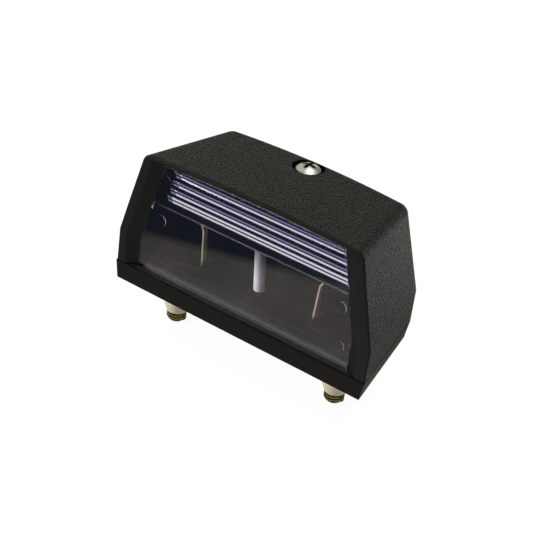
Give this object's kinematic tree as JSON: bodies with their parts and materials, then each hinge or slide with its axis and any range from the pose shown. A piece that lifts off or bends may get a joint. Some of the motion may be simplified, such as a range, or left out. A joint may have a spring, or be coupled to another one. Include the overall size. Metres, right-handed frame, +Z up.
{
  "type": "number plate lamp",
  "caption": "Hooded number plate lamp with a clear prism lens, a single cover screw and a flat base on threaded terminal studs.",
  "frame": {"origin": "middle of the stud row on the flat underside of the base", "axes": "+X along the width, -Y out of the lens, +Z up from the mounting face to the roof"},
  "size_m": [0.1, 0.0452, 0.066],
  "materials": {
    "black_plastic": "fine moulded grain on the hood, satin on the frame and base",
    "clear_lens": "polished clear moulding",
    "zinc": "bright zinc plate",
    "brass": "dull turned brass",
    "nylon": "cream nylon",
    "bronze_strip": "rolled spring strip",
    "white_plastic": "satin white moulding",
    "bulb_glass": "clear glass",
    "bulb_metal": "plated bulb caps and wire"
  },
  "bodies": {
    "root": {"cover": "black_plastic", "base": "black_plastic", "lens": "clear_lens", "cover_screw": "zinc", "screw_insert": "brass", "bulb_rest": "white_plastic", "bulb_glass": "bulb_glass", "bulb_filament": "bulb_metal", "terminal_stud_left": "brass", "terminal_stud_right": "brass", "stud_bush_left": "nylon", "stud_bush_right": "nylon", "contact_left": "bronze_strip", "contact_right": "bronze_strip", "bulb_cap_left": "bulb_metal", "bulb_cap_right": "bulb_metal"}
  },
  "joints": []
}
